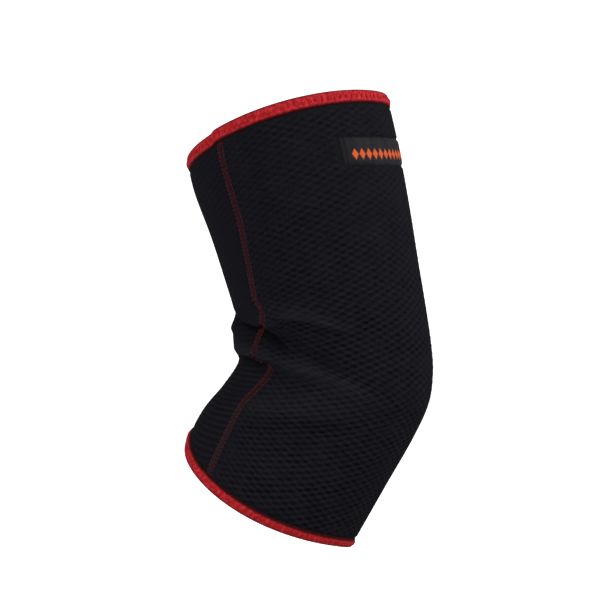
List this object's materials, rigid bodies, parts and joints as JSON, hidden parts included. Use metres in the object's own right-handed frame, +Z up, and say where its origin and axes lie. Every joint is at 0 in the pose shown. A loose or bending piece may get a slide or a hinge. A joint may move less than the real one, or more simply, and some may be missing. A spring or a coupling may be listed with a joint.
{
  "type": "knee support",
  "caption": "Slip-on knitted knee sleeve in the shape it takes on a bent leg, with a ribbed panel behind the knee, red seams, red bound rims and a plain woven label.",
  "frame": {"origin": "middle of the knee, where the thigh and shin axes meet inside the sleeve", "axes": "+Z up along the thigh's side of the bend, +X forward through the kneecap, -Y the label's side"},
  "size_m": [0.1565, 0.1288, 0.2848],
  "materials": {
    "main_knit": "black dimpled knit",
    "back_knit": "black fine ribbed knit",
    "binding_tape": "red stretch tape sewn with short slanted stitches",
    "label_weave": "charcoal woven patch with a row of orange lozenges"
  },
  "bodies": {
    "root": {"main_panel": "main_knit", "back_panel": "back_knit", "top_binding": "binding_tape", "bottom_binding": "binding_tape", "label": "label_weave"}
  },
  "joints": []
}
